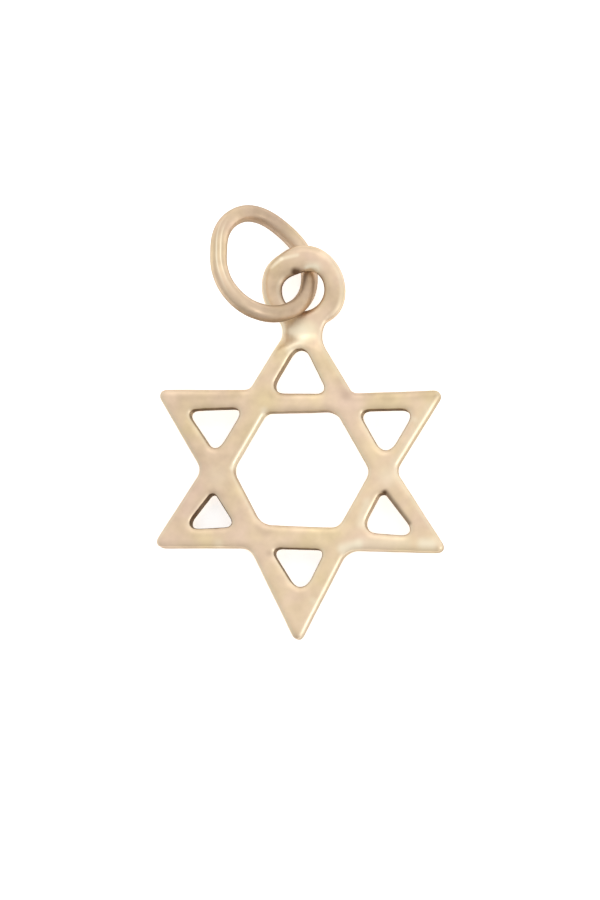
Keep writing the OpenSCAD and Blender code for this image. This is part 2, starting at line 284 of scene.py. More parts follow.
@dataclass(frozen=True)
class GoldFinish:
    """Satin rose-yellow gold, paler for painted highlights, and darker for painted shade with some tarnish
    and stains.
    """

    name: str
    yellow: Colour = (0.86, 0.695, 0.42, 1)
    rose: Colour = (0.88, 0.67, 0.515, 1)
    # Pale colour of the painted highlights
    highlight_paint: Colour = (1.0, 0.89, 0.68, 1)
    # Dark colour of the painted shade, with some tarnish and stains, and of the faint clouds
    shade_and_tarnish: Colour = (0.15, 0.085, 0.045, 1)
    rim: Colour = (0.48, 0.48, 0.46, 1)
    # How far the painted highlights go to their pale colour
    highlight_pale: float = 0.9
    drift: float = 0.8
    cloud_depth: float = 0.12
    # Least share of the painted shade and stains where the clouds thin them
    thinnest_shade_and_tarnish: float = 0.85
    roughness: float = 0.4
    cloud_roughness: float = 0.04
    shade_and_stain_roughness: float = 0.2
    # How much glossier the painted highlights are
    highlight_shine: float = 0.08
    brush_depth: float = 0.0004
    brush_turn: float = 20.0
    drift_size: float = 1.9
    cloud_size: float = 0.6
    grain_size: float = 0.05
    grain_share: float = 0.6
    scratch_width: float = 0.03
    scratch_length: float = 0.8

    def material(self) -> Material:
        """Makes the gold.

        Returns:
            The material.
        """
        gold = bpy.data.materials.new(self.name)
        gold.use_nodes = True
        recipe = Recipe(gold.node_tree)
        shader = gold.node_tree.nodes["Principled BSDF"]
        shader.inputs["Metallic"].default_value = 1.0
        shader.inputs["Specular Tint"].default_value = self.rim
        coordinates = recipe.add("ShaderNodeTexCoord")
        place = recipe.add(
            "ShaderNodeMapping", {"Vector": coordinates.outputs["Object"], "Scale": (1 / MM,) * 3}
        ).outputs[0]
        # Marks: painted shade with some tarnish and stains, painted highlights, and yellower tone
        shade_and_stain, painted_highlight, yellow = (
            recipe.add("ShaderNodeAttribute", attribute_name=mark.value).outputs["Fac"] for mark in Mark
        )
        clouds = recipe.speckle(place, self.cloud_size)
        links = gold.node_tree.links
        colour = self.colour(recipe, place, clouds, (shade_and_stain, painted_highlight, yellow))
        links.new(colour, shader.inputs["Base Color"])
        links.new(self.shine(recipe, clouds, shade_and_stain, painted_highlight), shader.inputs["Roughness"])
        links.new(self.marks(recipe, place), shader.inputs["Normal"])
        return gold

    def colour(
        self, recipe: Recipe, place: NodeSocket, clouds: NodeSocket, marked: Sockets
    ) -> NodeSocket:
        """Base colour: rose and yellow, faint clouds, paler for painted highlights, and darker for painted
        shade with some tarnish and stains.

        Args:
            recipe: The material's recipe.
            place: Socket of the place in millimetres.
            clouds: Socket of the cloudy noise.
            marked: Sockets of the painted shade and stain, painted highlight and yellow marks.

        Returns:
            Socket of the colour.
        """
        shade_and_stain, painted_highlight, yellow = marked
        wide = recipe.speckle(place, self.drift_size)
        drift = recipe.ranged(wide, NOISE_LOW, NOISE_HIGH, 0.0, self.drift)
        metal = recipe.blend(recipe.total("MAXIMUM", drift, yellow), self.rose, self.yellow)
        shade = recipe.ranged(clouds, NOISE_LOW, NOISE_HIGH, 0.0, self.cloud_depth)
        metal = recipe.blend(shade, metal, self.shade_and_tarnish)
        # Painted highlights: paler towards their colour where marked
        metal = recipe.blend(recipe.total("MULTIPLY", painted_highlight, self.highlight_pale), metal, self.highlight_paint)
        # Painted shade, with some tarnish and stains: darker where marked, patchy with the clouds
        patchy = recipe.ranged(clouds, NOISE_LOW, NOISE_HIGH, self.thinnest_shade_and_tarnish, 1.0)
        return recipe.blend(recipe.total("MULTIPLY", shade_and_stain, patchy), metal, self.shade_and_tarnish)

    def shine(
        self, recipe: Recipe, clouds: NodeSocket, shade_and_stain: NodeSocket, painted_highlight: NodeSocket
    ) -> NodeSocket:
        """Roughness: cloudy, glossier under the painted highlights, rougher under the painted shade and
        stains.

        Args:
            recipe: The material's recipe.
            clouds: Socket of the cloudy noise.
            shade_and_stain: Socket of the painted shade and stain mark.
            painted_highlight: Socket of the painted highlight mark.

        Returns:
            Socket of the roughness.
        """
        least, most = self.roughness - self.cloud_roughness, self.roughness + self.cloud_roughness
        base = recipe.ranged(clouds, NOISE_LOW, NOISE_HIGH, least, most)
        base = recipe.total("ADD", base, recipe.total("MULTIPLY", shade_and_stain, self.shade_and_stain_roughness))
        return recipe.total("SUBTRACT", base, recipe.total("MULTIPLY", painted_highlight, self.highlight_shine))

    def marks(self, recipe: Recipe, place: NodeSocket) -> NodeSocket:
        """Bump: fine scratches of the last polish, and the grain of the casting.

        Args:
            recipe: The material's recipe.
            place: Socket of the place in millimetres.

        Returns:
            Socket of the normal.
        """
        turned = recipe.add(
            "ShaderNodeMapping",
            {
                "Vector": place,
                "Rotation": (0, 0, math.radians(self.brush_turn)),
                "Scale": (1 / self.scratch_length, 1 / self.scratch_width, 1 / self.scratch_width),
            },
        ).outputs[0]
        scratches = recipe.add("ShaderNodeTexNoise", {"Vector": turned, "Scale": 1.0}).outputs[0]
        grain = recipe.speckle(place, self.grain_size)
        height = recipe.total("ADD", scratches, recipe.total("MULTIPLY", grain, self.grain_share))
        inputs = {"Height": height, "Strength": 1.0, "Distance": self.brush_depth * MM}
        return recipe.add("ShaderNodeBump", inputs).outputs[0]


@dataclass(frozen=True)
class TableFinish:
    """Plain pale table top."""

    name: str = "pale_table"
    colour: Colour = (0.9, 0.9, 0.9, 1)
    roughness: float = 0.9
    glow: float = 0.62

    def material(self) -> Material:
        """Makes the table's finish.

        Returns:
            The material.
        """
        pale = bpy.data.materials.new(self.name)
        pale.use_nodes = True
        shader = pale.node_tree.nodes["Principled BSDF"]
        shader.inputs["Base Color"].default_value = self.colour
        shader.inputs["Roughness"].default_value = self.roughness
        shader.inputs["Emission Color"].default_value = self.colour
        shader.inputs["Emission Strength"].default_value = self.glow
        return pale


@dataclass
class Lie:
    """Where the two pieces lie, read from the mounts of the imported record.

    Attributes:
        back_mount: Place of the star's back mount in the star's own frame, in millimetres.
    """

    back_mount: tuple[float, float, float] = (0, -3.25, -0.475)

    def mount(self, name: str) -> tuple[Vector, Vector]:
        """Place, in metres, and axis of the mount with this name."""
        row = next(m for m in frame["record"]["mounts"] if m["name"] == name)
        return Vector(row["pos_m"]), Vector(row["axis"]).normalized()

    def of_star(self) -> Matrix:
        """Finds where the star lies.

        Returns:
            Matrix from the star's frame in millimetres to its place in metres.
        """
        place, axis = self.mount("star_back")
        up = -axis
        sideways = Matrix.Rotation(math.atan2(up.x, up.z), 4, "Y")
        lean = sideways @ Matrix.Rotation(-math.asin(up.y), 4, "X")
        laid = Matrix.Translation(place) @ lean @ Matrix.Scale(MM, 4)
        return laid @ Matrix.Translation(-Vector(self.back_mount))

    def of_ring(self) -> Matrix:
        """Finds where the ring lies.

        Returns:
            Matrix from the ring's frame in millimetres, with +Z along its axis and +X towards its
            lowest point, to its place in metres.
        """
        place, axis = self.mount("jump_ring_opening")
        down = (axis * axis.z - Vector((0, 0, 1))).normalized()
        level = axis.cross(down)
        turn = Matrix((down, level, axis)).transposed().to_4x4()
        return Matrix.Translation(place) @ turn @ Matrix.Scale(MM, 4)


def object_of(name: str, mesh: BMesh) -> Object:
    """Makes a linked object from a bmesh and frees the bmesh.

    Args:
        name: Name of the object and its mesh.
        mesh: The shape.

    Returns:
        The object, at the origin.
    """
    data = bpy.data.meshes.new(name)
    mesh.to_mesh(data)
    mesh.free()
    made = bpy.data.objects.new(name, data)
    bpy.context.scene.collection.objects.link(made)
    return made


def remeshed(shape: Object, voxel: float) -> BMesh:
    """Fuses a shape's overlapping shells into one even skin, and removes the shape.

    Args:
        shape: The object.
        voxel: Width of the new skin's faces.

    Returns:
        The new skin.
    """
    fuse = shape.modifiers.new("fuse", "REMESH")
    fuse.mode = "VOXEL"
    fuse.voxel_size = voxel
    seen = shape.evaluated_get(bpy.context.evaluated_depsgraph_get())
    skin = bmesh.new()
    skin.from_mesh(seen.to_mesh())
    seen.to_mesh_clear()
    bpy.data.objects.remove(shape)
    return skin


@dataclass(frozen=True)
class Opening:
    """One opening of the star.

    Attributes:
        middle: Its middle.
        reach: Distance of its farthest corner from there.
        shade_and_tarnish: How dark its top wall is painted: painted shade on the wall that faces down the
            star, away from the light.
        left_share: Share of that on its left wall.
        full_tilt: Tilt of the skin, from 0 flat to 1 upright, from which the painted shade is full.
    """

    middle: Vector
    reach: float
    shade_and_tarnish: float
    left_share: float
    full_tilt: float

    def walled_by(self, vert: BMVert) -> bool:
        """Whether a place of the skin is near this opening and faces into it."""
        inward = (self.middle - vert.co) * Vector((1, 1, 0))
        return inward.length < self.reach * WALL_REACH and inward.dot(vert.normal) > 0

    def darkness(self, vert: BMVert) -> float:
        """Painted shade of its wall at a place: all of it on a top wall, and a share of it on the left."""
        top = ease(*TOP_WALL, -vert.normal.y)
        return self.shade_and_tarnish * (self.left_share + (1 - self.left_share) * top)


def opening_of(
    corners: Sequence[Vector], shade_and_tarnish: float, left_share: float, full_tilt: float
) -> Opening:
    """Opening with the given corners.

    Args:
        corners: Its corners.
        shade_and_tarnish: How dark its top wall is painted, as painted shade.
        left_share: Share of that on its left wall.
        full_tilt: Tilt of the skin, from 0 flat to 1 upright, from which the painted shade is full.

    Returns:
        The opening.
    """
    middle = sum(corners, Vector()) / len(corners)
    reach = max((at - middle).length for at in corners)
    return Opening(middle, reach, shade_and_tarnish, left_share, full_tilt)


@dataclass
class Star:
    """The cast star with its neck and eye, in millimetres."""

    star_r: float = 8.0
    bar_w: float = 0.95
    star_t: float = 0.95
    face_edge_r: float = 0.11
    back_edge_r: float = 0.12
    tip_r: float = 0.28
    notch_r: float = 0.6
    middle_r: float = 0.7
    window_r: float = 0.25
    eye_od: float = 3.96
    eye_hole: float = 2.02
    eye_t: float = 0.57
    eye_past_tip: float = 1.03
    eye_shift: float = 0.1
    eye_bends: tuple[Stretch, ...] = (
        Stretch(-62, 30, 0.04),
        Stretch(-34, 28, -0.05),
        Stretch(52, 40, -0.055),
        Stretch(126, 48, 0.16),
    )
    hole_bends: tuple[Stretch, ...] = (Stretch(-20, 62, -0.2),)
    hole_drop: float = 0.16
    # Rounding of the neck into the eye, on the right and on the left
    neck_r: tuple[float, float] = (1.12, 0.86)
    # The neck's root lies this far into the eye, as a share of the way to its middle
    neck_root: float = 0.15
    voxel: float = 0.055
    weld: float = 0.001
    cut_weld: float = 1e-5
    # A face of the plate is flat, not a wall, where its normal is more upright than this
    flat_normal: float = 0.5
    corner_steps: int = 8
    edge_steps: int = 5
    eye_steps: int = 120
    section_steps: int = 40
    # Power that squares the eye's section off a little: 1 leaves it oval
    section_fullness: float = 0.66
    neck_t: float = 0.56
    # Start and end of the ramp down to the eye, as shares of the neck's rounded part
    ramp_start: float = -0.5
    ramp_end: float = 0.35
    ramp_cuts: int = 8
    smoothings: int = 5
    smoothing: float = 0.5
    shoulder: float = 0.07
    shoulder_w: float = 0.36
    wave: float = 0.012
    wave_size: float = 1.8
    ripple: float = 0.004
    ripple_size: float = 0.45
    wall_slope: float = 0.3
    # Strength of the painted highlight along the edges
    edge_highlight: float = 0.35
    # An edge's painted highlight sets in between these tilts of the skin, and where it faces sideways by
    # these shares
    edge_tilt: tuple[float, float] = (0.01, 0.1)
    edge_side: tuple[float, float] = (0.3, 0.9)
    # Tilts where painted shade starts on outer and on inner walls, and where it is full on inner ones
    outer_slope: float = 0.25
    inner_slope: float = 0.15
    full_tilt: float = 0.7
    # From the top window on, clockwise: its own full tilt, and its left wall's share of the painted shade
    window_tilt: tuple[float, ...] = (0.7, 0.7, 0.7, 0.7, 0.3, 0.7)
    left_wall_shade: tuple[float, ...] = (0.6, 0.45, 0.3, 0.75, 1.0, 0.5)
    # Strength of the painted shade on the walls of the windows, the middle opening, the eye's hole and the
    # outside
    window_wall_shade: float = 0.95
    middle_wall_shade: float = 0.65
    middle_left_wall_shade: float = 0.55
    eye_hole_shade: float = 0.95
    outer_wall_shade: float = 0.2
    # Dark spots and strokes of painted shadow and stain, the darkest painted shadows in the eye and in the
    # lower right window, and a wide one of painted shade over the star's left side
    shadows_and_stains: tuple[Spot, ...] = (
        Spot(-0.12, -8.1, 0.8, 0.3),
        Spot(-1.06, 8.37, 1.0, 0.12),
        Spot(1.62, 8.23, 1.0, 0.1),
        Spot(2.4, 3.42, 0.5, 0.21, 4.1, 0.03),
        Spot(-5.6, 3.5, 0.4, 0.12, 2.6, 0.05),
        Spot(1.2, 5.7, 0.5, 0.18, 1.0, -2.1),
        Spot(-1.3, 3.6, 0.45, 0.16, 0.8, 0.0),
        Spot(5.2, -1.5, 0.3, 0.12, 1.25, -1.85),
        Spot(-1.95, -2.65, 0.35, 0.16, 0.5, -0.3),
        Spot(-1.38, -3.95, 0.28, 0.25),
        Spot(-5.5, 0.5, 6.5, 0.14),
        Spot(-0.5, 9.0, 2.3, 0.28),
        Spot(1.4, 9.7, 0.7, 0.1, 0.2, -2.2),
        Spot(-0.3, 9.42, 0.3, 0.95, 0.1, -0.02),
        Spot(4.05, -1.12, 0.2, 0.75, 1.1, -1.46),
        Spot(3.95, -1.15, 0.2, 0.7),
    )
    # Spots and strokes painted bright as highlights
    highlight_paint: tuple[Spot, ...] = (
        Spot(0.15, 6.4, 0.8, 0.8, 0.15, 0.15),
        Spot(-0.35, 6.3, 0.8, 1.0, -0.1, 0.7),
        Spot(-1.45, 9.65, 0.16, 0.7, 0.5, 0.39),
        Spot(-0.95, 10.04, 0.16, 0.6, 0.76, 0.16),
        Spot(0.32, 9.5, 0.3, 0.95, 0.3, 0.0),
        Spot(0.45, 9.55, 0.5, 0.9, 0.2, 0.0),
        Spot(-1.7, 2.8, 0.3, 0.5),
        Spot(-0.5, 5.65, 0.35, 0.5),
        Spot(2.05, -3.75, 0.4, 0.9, 0.7, 0.2),
        Spot(3.0, -3.5, 0.5, 0.35, 2.0, 0.0),
        Spot(3.2, -1.6, 0.35, 0.5, -0.3, -1.0),
        Spot(4.2, -0.4, 0.8, 0.4),
        Spot(-3.9, -0.3, 0.9, 0.2),
        Spot(0.7, -6.2, 0.3, 0.4),
        Spot(-3.8, -3.45, 0.35, 0.4),
        Spot(5.4, 2.25, 0.25, 0.4),
        Spot(5.8, -3.55, 0.45, 0.9, 0.4, 0.0),
        Spot(-3.2, 0.1, 0.2, 0.7, 1.45, 2.5),
        Spot(2.15, -4.2, 0.3, 0.4, -2.1, -3.9),
        Spot(6.15, 2.9, 0.3, 0.3, -1.7, -2.7),
    )
    # Spots where the gold is yellower
    yellowed: tuple[Spot, ...] = (
        Spot(-1.62, 3.27, 1.7, 0.9),
        Spot(-2.33, 1.61, 1.5, 0.8),
        Spot(-4.7, 3.4, 1.8, 0.5),
        Spot(0.17, 6.44, 1.1, 1.0),
        Spot(3.93, -0.05, 1.3, 0.5),
    )
    # From the top point on, clockwise, with the notch clockwise of each point
    points: tuple[PointRow, ...] = (
        PointRow(0.963, -0.005, 1.00),
        PointRow(0.963, 0.029, 0.96),
        PointRow(1.003, -0.007, 1.18),
        PointRow(1.030, 0.010, 1.03),
        PointRow(0.986, 0.049, 1.16),
        PointRow(0.995, -0.014, 1.23),
    )
    notches: tuple[NotchRow, ...] = (
        NotchRow(0.538, 0.043, 0.65, 1.14, -0.30, 1.13),
        NotchRow(0.559, 0.008, 0.86, 1.23, 0.09, 0.76),
        NotchRow(0.548, -0.002, 1.30, 1.13, -0.21, 0.72),
        NotchRow(0.542, 0.029, 1.29, 1.24, 0.07, 1.30),
        NotchRow(0.584, 0.004, 0.94, 1.51, 0.02, 0.98),
        NotchRow(0.563, -0.024, 0.59, 1.38, 0.12, 0.61),
    )
    windows: tuple[WindowRow, ...] = (
        WindowRow(0.66, 1.08, 0.81, 0.89, -0.02, -0.18, 2.17, 1.24, 1.88),
        WindowRow(0.75, 0.61, 0.90, 0.84, -0.18, -0.18, 1.68, 2.21, 1.32),
        WindowRow(0.66, 0.93, 0.73, 1.11, 0.18, -0.15, 1.43, 2.14, 1.03),
        WindowRow(1.41, 0.85, 0.81, 0.94, -0.02, 0.03, 2.38, 1.11, 1.13),
        WindowRow(0.70, 1.12, 0.80, 1.07, 0.07, 0.03, 1.44, 0.86, 1.06),
        WindowRow(1.09, 0.87, 0.72, 0.99, -0.25, -0.22, 1.14, 1.34, 1.74),
    )

    def tip(self, k: int) -> Vector:
        """Sharp tip of one point."""
        row = self.points[k % SIDES]
        return self.star_r * (row.reach * outward(k) + row.shift * clockwise(k))

    def notch(self, k: int) -> Vector:
        """Sharp corner of the notch clockwise of one point."""
        row = self.notches[k % SIDES]
        return self.star_r * (row.reach * outward(k + 0.5) + row.shift * clockwise(k + 0.5))

    def middle_corner(self, k: int) -> Vector:
        """Corner of the middle opening behind one notch.

        Args:
            k: The point that the notch is clockwise of.

        Returns:
            The sharp corner.
        """
        row = self.notches[k % SIDES]
        inward = row.middle_shift * clockwise(k + 0.5) - row.depth * outward(k + 0.5)
        return self.notch(k) + self.bar_w * inward

    def window_corners(self, k: int) -> tuple[Vector, Vector, Vector]:
        """Corners of one window.

        Args:
            k: The point that it pierces.

        Returns:
            Its corner at the tip, its clockwise corner and its other corner on the sill.
        """
        row, point, after, before = self.windows[k], self.tip(k), self.notch(k), self.notch(k - 1)
        side, other_side = right_of(after - point), -right_of(before - point)
        over = right_of(before - after)
        rail = (point + side * self.bar_w * row.rail_tip, after + side * self.bar_w * row.rail_notch)
        other = (
            point + other_side * self.bar_w * row.other_tip,
            before + other_side * self.bar_w * row.other_notch,
        )
        sill = (after + over * self.bar_w * row.sill, before + over * self.bar_w * row.other_sill)
        lines = [(start, end - start) for start, end in (rail, other, sill)]
        return meet(*lines[0], *lines[1]), meet(*lines[2], *lines[0]), meet(*lines[1], *lines[2])

    @property
    def eye_at(self) -> Vector:
        """Middle of the eye."""
        return self.tip(0) + Vector((self.eye_shift, self.eye_past_tip, 0))

    def neck_corner(self, rail_end: Vector, radius: float) -> tuple[Vector, Vector]:
        """Corner that the neck's rounding is cut from, on one side.

        Args:
            rail_end: The notch at the foot of that side of the top point.
            radius: Radius of the rounding.

        Returns:
            The sharp corner, and the place where the rounding runs into the eye.
        """
        along = (self.tip(0) - rail_end).normalized()
        side = right_of(along) * (1 if rail_end.x > 0 else -1)
        base = rail_end + side * radius
        far = (self.eye_at - base).dot(along)
        off = (self.eye_at - base - along * far).length
        middle = base + along * (far - math.sqrt((self.eye_od / 2 + radius) ** 2 - off**2))
        towards = (self.eye_at - middle).normalized()
        touch = middle + towards * radius
        return meet(rail_end, along, touch, right_of(towards)), touch

    def plate(self, mesh: BMesh) -> None:
        """Builds the pierced plate with the neck: a cage of quads, extruded, then rounded.

        Args:
            mesh: The bmesh that it is added to.
        """
        rounding: dict[BMVert, float] = {}

        def corner(at: Vector, radius: float) -> BMVert:
            """Adds a vertex of the cage, whose upright edge is rounded later.

            Args:
                at: Its place.
                radius: Radius of that rounding, or 0 for none.

            Returns:
                The vertex.
            """
            made = mesh.verts.new(at)
            if radius > 0:
                rounding[made] = radius
            return made

        tips = [None] + [corner(self.tip(k), self.tip_r * self.points[k].rounding) for k in range(1, SIDES)]
        notches = [corner(self.notch(k), self.notch_r * row.rounding) for k, row in enumerate(self.notches)]
        middles = [
            corner(self.middle_corner(k), self.middle_r * row.middle_rounding)
            for k, row in enumerate(self.notches)
        ]
        windows = [
            [
                corner(at, self.window_r * share)
                for at, share in zip(
                    self.window_corners(k), (row.tip_rounding, row.sill_rounding, row.other_rounding)
                )
            ]
            for k, row in enumerate(self.windows)
        ]
        necks = []
        for foot, radius in zip((self.notch(0), self.notch(-1)), self.neck_r):
            sharp, touch = self.neck_corner(foot, radius)
            root = touch.lerp(self.eye_at, self.neck_root)
            necks.append((corner(sharp, radius), corner(touch, 0), corner(root, 0)))
        right, left = necks
        faces = [(right[0], left[0], windows[0][0])]
        faces += [(right[i], right[i + 1], left[i + 1], left[i]) for i in range(2)]
        for k, (top, sill, other) in enumerate(windows):
            faces.append((notches[k], tips[k] or right[0], top, sill))
            faces.append((notches[k - 1], other, top, tips[k] or left[0]))
            faces.append((sill, other, middles[k - 1], middles[k]))
            faces.append((notches[k], sill, middles[k], windows[(k + 1) % SIDES][2]))
        flat = [mesh.faces.new(corners) for corners in faces]
        bmesh.ops.recalc_face_normals(mesh, faces=flat)
        feet = list(rounding.items())
        raised = bmesh.ops.extrude_face_region(mesh, geom=flat)["geom"]
        top = [v for v in raised if isinstance(v, BMVert)]
        bmesh.ops.translate(mesh, verts=mesh.verts, vec=(0, 0, -self.star_t / 2))
        bmesh.ops.translate(mesh, verts=top, vec=(0, 0, self.star_t))
        top_set = set(top)
        uprights = [
            (edge, radius)
            for foot, radius in feet
            for edge in foot.link_edges
            if edge.other_vert(foot) in top_set
        ]
        for edge, radius in uprights:
            self.round_upright(mesh, edge, radius)
        bmesh.ops.remove_doubles(mesh, verts=mesh.verts, dist=self.weld)
        for side, radius in ((1, self.face_edge_r), (-1, self.back_edge_r)):
            rim = [edge for edge in mesh.edges if self.on_rim(edge, side)]
            bmesh.ops.bevel(
                mesh, geom=rim, offset=radius, offset_type="OFFSET", segments=self.edge_steps,
                profile=0.5, affect="EDGES", clamp_overlap=False, material=-1,
            )

    def on_rim(self, edge: BMEdge, side: int) -> bool:
        """Whether an edge parts a flat face from a wall, on the plate's face (1) or its back (-1)."""
        flats = [abs(face.normal.z) > self.flat_normal for face in edge.link_faces]
        return sorted(flats) == [False, True] and all(vert.co.z * side > 0 for vert in edge.verts)

    def round_upright(self, mesh: BMesh, edge: BMEdge, radius: float) -> None:
        """Rounds one upright edge of the plate.

        Args:
            mesh: The plate.
            edge: The upright edge.
            radius: Radius of the arc, seen from above.
        """
        foot = edge.verts[0]
        ways = [
            (side.other_vert(foot).co - foot.co).normalized()
            for wall in edge.link_faces
            for side in wall.edges
            if side != edge and foot in side.verts
        ]
        half_turn = (math.pi - ways[0].angle(ways[1])) / 2
        bmesh.ops.bevel(
            mesh, geom=[edge], offset=radius * math.tan(half_turn), offset_type="OFFSET",
            segments=self.corner_steps, profile=0.5, affect="EDGES", clamp_overlap=False, material=-1,
        )

    def ramp(self) -> tuple[float, float]:
        """Finds where the plate thins to the eye, along the neck.

        Returns:
            How far up the star the ramp starts and ends.
        """
        lows, highs = [], []
        for foot, radius in zip((self.notch(0), self.notch(-1)), self.neck_r):
            sharp, touch = self.neck_corner(foot, radius)
            lows.append(sharp.y - (self.tip(0) - foot).normalized().y * (touch - sharp).length)
            highs.append(touch.y)
        low, high = max(lows), min(highs)
        return low + (high - low) * self.ramp_start, low + (high - low) * self.ramp_end

    def thin_neck(self, mesh: BMesh) -> None:
        """Thins the plate along the neck, down to the eye.

        Args:
            mesh: The plate.
        """
        low, high = self.ramp()
        for cut in range(self.ramp_cuts + 1):
            level = low + (high - low) * cut / self.ramp_cuts
            everything = [*mesh.verts, *mesh.edges, *mesh.faces]
            bmesh.ops.bisect_plane(
                mesh, geom=everything, dist=self.cut_weld, plane_co=(0, level, 0), plane_no=(0, 1, 0)
            )
        thinner = self.neck_t / self.star_t
        for vert in mesh.verts:
            vert.co.z *= 1 + (thinner - 1) * ease(low, high, vert.co.y)

    def eye(self, mesh: BMesh) -> None:
        """Adds the eye: an oval section spun round its middle, with its hole set a little low.

        Args:
            mesh: The bmesh that it is added to.
        """
        inner, outer = self.eye_hole / 2, self.eye_od / 2
        others = set(mesh.verts)
        upright = Matrix.Rotation(math.radians(90), 4, "X")
        bmesh.ops.create_circle(mesh, segments=self.section_steps, radius=1, matrix=upright)
        section = [vert for vert in mesh.verts if vert not in others]
        for vert in section:
            for axis in (0, 2):
                vert.co[axis] = math.copysign(abs(vert.co[axis]) ** self.section_fullness, vert.co[axis])
        bmesh.ops.scale(mesh, verts=section, vec=((outer - inner) / 2, 1, self.eye_t / 2))
        bmesh.ops.translate(mesh, verts=section, vec=((outer + inner) / 2, 0, 0))
        edges = list({edge for vert in section for edge in vert.link_edges})
        bmesh.ops.spin(
            mesh, geom=[*section, *edges], cent=(0, 0, 0), axis=(0, 0, 1),
            angle=math.tau, steps=self.eye_steps, use_merge=True,
        )
        round_eye = [vert for vert in mesh.verts if vert not in others]
        for vert in round_eye:
            turn = math.degrees(math.atan2(vert.co.x, vert.co.y))
            share = (outer - vert.co.to_2d().length) / (outer - inner)
            out = share * sum(bend.at(turn) for bend in self.hole_bends)
            out += (1 - share) * sum(bend.at(turn) for bend in self.eye_bends)
            vert.co += out * Vector((vert.co.x, vert.co.y, 0)).normalized()
            vert.co.y -= self.hole_drop * share
        bmesh.ops.translate(mesh, verts=round_eye, vec=self.eye_at)
        bmesh.ops.recalc_face_normals(mesh, faces=mesh.faces)

    def openings(self) -> list[Opening]:
        """Lists the openings that the plate and the eye have.

        Returns:
            The windows, the middle opening and the eye's hole.
        """
        found = [
            opening_of(self.window_corners(k), self.window_wall_shade, left, tilt)
            for k, (left, tilt) in enumerate(zip(self.left_wall_shade, self.window_tilt))
        ]
        hexagon = [self.middle_corner(k) for k in range(SIDES)]
        found.append(opening_of(hexagon, self.middle_wall_shade, self.middle_left_wall_shade, self.full_tilt))
        hole_at = self.eye_at - Vector((0, self.hole_drop, 0))
        reach = self.eye_hole / 2 + self.eye_t / 2
        found.append(Opening(hole_at, reach, self.eye_hole_shade, 1.0, self.full_tilt))
        return found

    def wear(self, skin: BMesh) -> None:
        """Rubs soft shoulders on the bars, and makes the skin a little uneven.

        Args:
            skin: The fused star.
        """
        walls = [vert for vert in skin.verts if abs(vert.normal.z) < self.wall_slope]
        tree = kdtree.KDTree(len(walls))
        for index, vert in enumerate(walls):
            tree.insert((vert.co.x, vert.co.y, 0), index)
        tree.balance()
        moves = []
        for vert in skin.verts:
            flat = Vector((vert.co.x, vert.co.y, 0))
            gap = tree.find(flat)[2]
            sink = self.shoulder * max(0.0, 1 - gap / self.shoulder_w) ** 2
            uneven = self.wave * noise.noise(vert.co / self.wave_size)
            uneven += self.ripple * noise.noise(vert.co / self.ripple_size)
            down = Vector((0, 0, -math.copysign(1, vert.co.z))) * abs(vert.normal.z) * sink
            moves.append(down + vert.normal * uneven)
        for vert, move in zip(skin.verts, moves):
            vert.co += move

    def sideways(self, vert: BMVert) -> float:
        """How far a tilted place faces left or right, rather than up or down the star."""
        return abs(vert.normal.x) / max(1e-6, math.hypot(vert.normal.x, vert.normal.y))

    def mark(self, skin: BMesh) -> None:
        """Marks the painted shade on walls, the dark spots of painted shadow and stain, the edges and spots
        painted as highlights, and the yellower spots.

        A spot with a painted highlight keeps no painted shade.

        Args:
            skin: The fused star.
        """
        shade_and_stain, painted_highlight, yellow = [skin.verts.layers.float.new(mark.value) for mark in Mark]
        openings = self.openings()
        for vert in skin.verts:
            # Painted shade on the walls: faint on the outer walls, and on each opening's walls darkest on
            # its top wall
            tilt = 1 - abs(vert.normal.z)
            wall, strength = ease(self.outer_slope, 1.0, tilt), self.outer_wall_shade
            for opening in openings:
                if opening.walled_by(vert):
                    wall = ease(self.inner_slope, opening.full_tilt, tilt)
                    strength = opening.darkness(vert)
            # Painted shadows and stains from the dark spots, and the highlight spots that clear them
            darkened = sum(dark_spot.share(vert.co) for dark_spot in self.shadows_and_stains)
            shine = min(1.0, sum(spot.share(vert.co) for spot in self.highlight_paint))
            vert[shade_and_stain] = max(wall * strength, min(1.0, darkened)) * (1 - shine)
            vert[yellow] = min(1.0, sum(spot.share(vert.co) for spot in self.yellowed))
            # Painted highlights: on edges that face sideways, and on the highlight spots
            edge = self.edge_highlight * ease(*self.edge_tilt, tilt) * (1 - wall)
            vert[painted_highlight] = min(1.0, edge * ease(*self.edge_side, self.sideways(vert)) + shine)

    def build(self, lie: Lie, finish: GoldFinish) -> Object:
        """Builds the star and lays it where it lies.

        Args:
            lie: Where the pieces lie.
            finish: Its gold.

        Returns:
            The star.
        """
        mesh = bmesh.new()
        self.plate(mesh)
        self.thin_neck(mesh)
        self.eye(mesh)
        skin = remeshed(object_of("star_shells", mesh), self.voxel)
        for _ in range(self.smoothings):
            bmesh.ops.smooth_vert(
                skin, verts=skin.verts, factor=self.smoothing,
                use_axis_x=True, use_axis_y=True, use_axis_z=True,
            )
        skin.normal_update()
        self.wear(skin)
        skin.normal_update()
        self.mark(skin)
        return finished("cast_star", skin, lie.of_star(), finish, "star")


